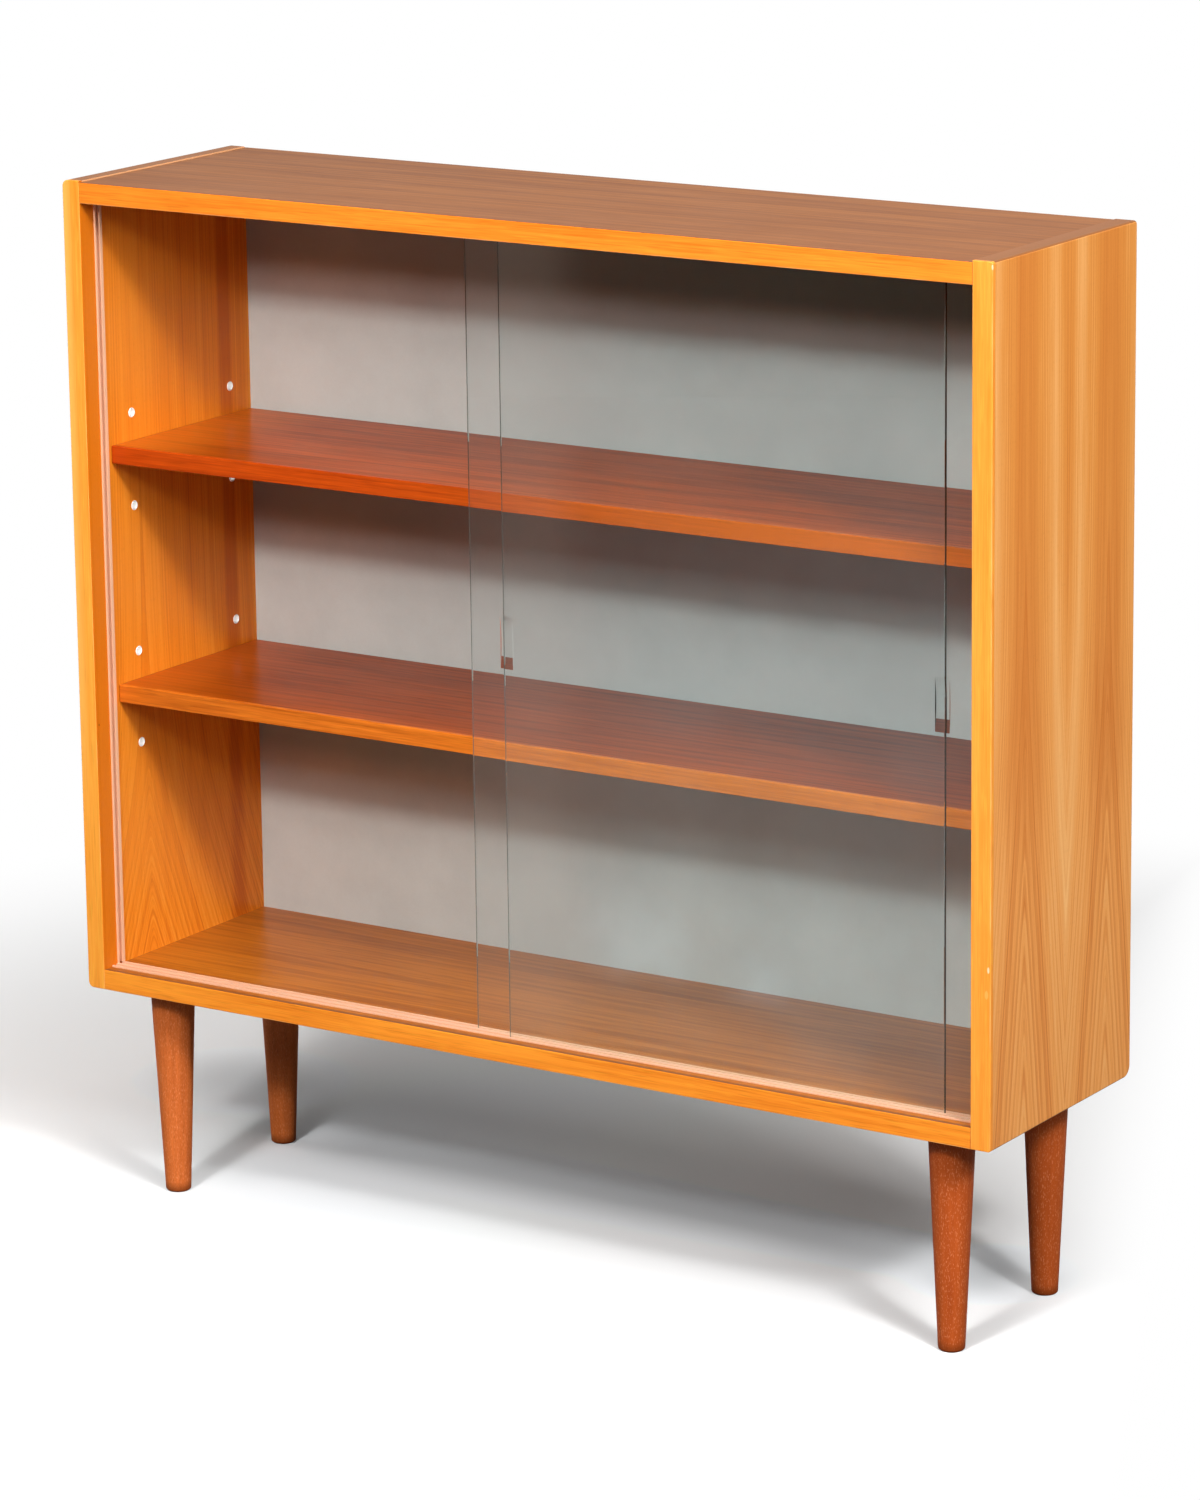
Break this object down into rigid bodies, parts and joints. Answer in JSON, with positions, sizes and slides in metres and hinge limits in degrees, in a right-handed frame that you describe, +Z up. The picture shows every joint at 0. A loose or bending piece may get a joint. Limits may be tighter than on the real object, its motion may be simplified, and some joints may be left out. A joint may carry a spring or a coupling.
{
  "type": "bookcase with sliding glass doors",
  "caption": "Low veneered wooden bookcase on turned tapered legs, with adjustable shelves behind frameless glass doors that slide past each other in plastic tracks.",
  "frame": {"origin": "on the floor, under the middle of the bounding box", "axes": "+X to the right along the width, +Y from the front to the back, +Z up"},
  "size_m": [1.1, 0.29, 1.1],
  "materials": {
    "side_veneer": "satin lacquered veneer with an upright figure",
    "board_veneer": "satin lacquered veneer with the grain along the width",
    "edge_lipping": "clear lacquered solid strip",
    "shelf_veneer": "glossy stained veneer",
    "shelf_lipping": "glossy stained strip",
    "painted_hardboard": "matte painted inside, bare outside",
    "dowel_beech": "bare",
    "leg_beech": "stained and lacquered",
    "track_plastic": "semi-matte extruded",
    "white_plastic": "smooth moulded",
    "pin_brass": "turned",
    "zinc_steel": "zinc plated",
    "door_glass": "clear, ground and polished edges"
  },
  "bodies": {
    "cabinet": {"left_side_panel": "side_veneer", "right_side_panel": "side_veneer", "left_side_lipping": "edge_lipping", "right_side_lipping": "edge_lipping", "top_panel": "board_veneer", "top_lipping": "edge_lipping", "bottom_panel": "board_veneer", "bottom_lipping": "edge_lipping", "back_panel": "painted_hardboard", "back_panel_nails": "zinc_steel", "top_left_dowels": "dowel_beech", "top_right_dowels": "dowel_beech", "bottom_left_dowels": "dowel_beech", "bottom_right_dowels": "dowel_beech", "upper_shelf": "shelf_veneer", "upper_shelf_lipping": "shelf_lipping", "upper_shelf_pins": "pin_brass", "lower_shelf": "shelf_veneer", "lower_shelf_lipping": "shelf_lipping", "lower_shelf_pins": "pin_brass", "left_shelf_sockets": "white_plastic", "right_shelf_sockets": "white_plastic", "bottom_track": "track_plastic", "top_track": "track_plastic", "left_side_channel": "track_plastic", "right_side_channel": "track_plastic", "front_left_leg": "leg_beech", "front_right_leg": "leg_beech", "back_left_leg": "leg_beech", "back_right_leg": "leg_beech", "leg_studs": "zinc_steel", "leg_inserts": "zinc_steel"},
    "left_door": {"left_glass_door": "door_glass"},
    "right_door": {"right_glass_door": "door_glass"}
  },
  "joints": [
    {"name": "left_door_slide", "type": "slide", "parent": "cabinet", "child": "left_door", "axis": [1, 0, 0], "range_m": [-0.467, 0.042]},
    {"name": "right_door_slide", "type": "slide", "parent": "cabinet", "child": "right_door", "axis": [1, 0, 0], "range_m": [-0.509, 0]}
  ]
}
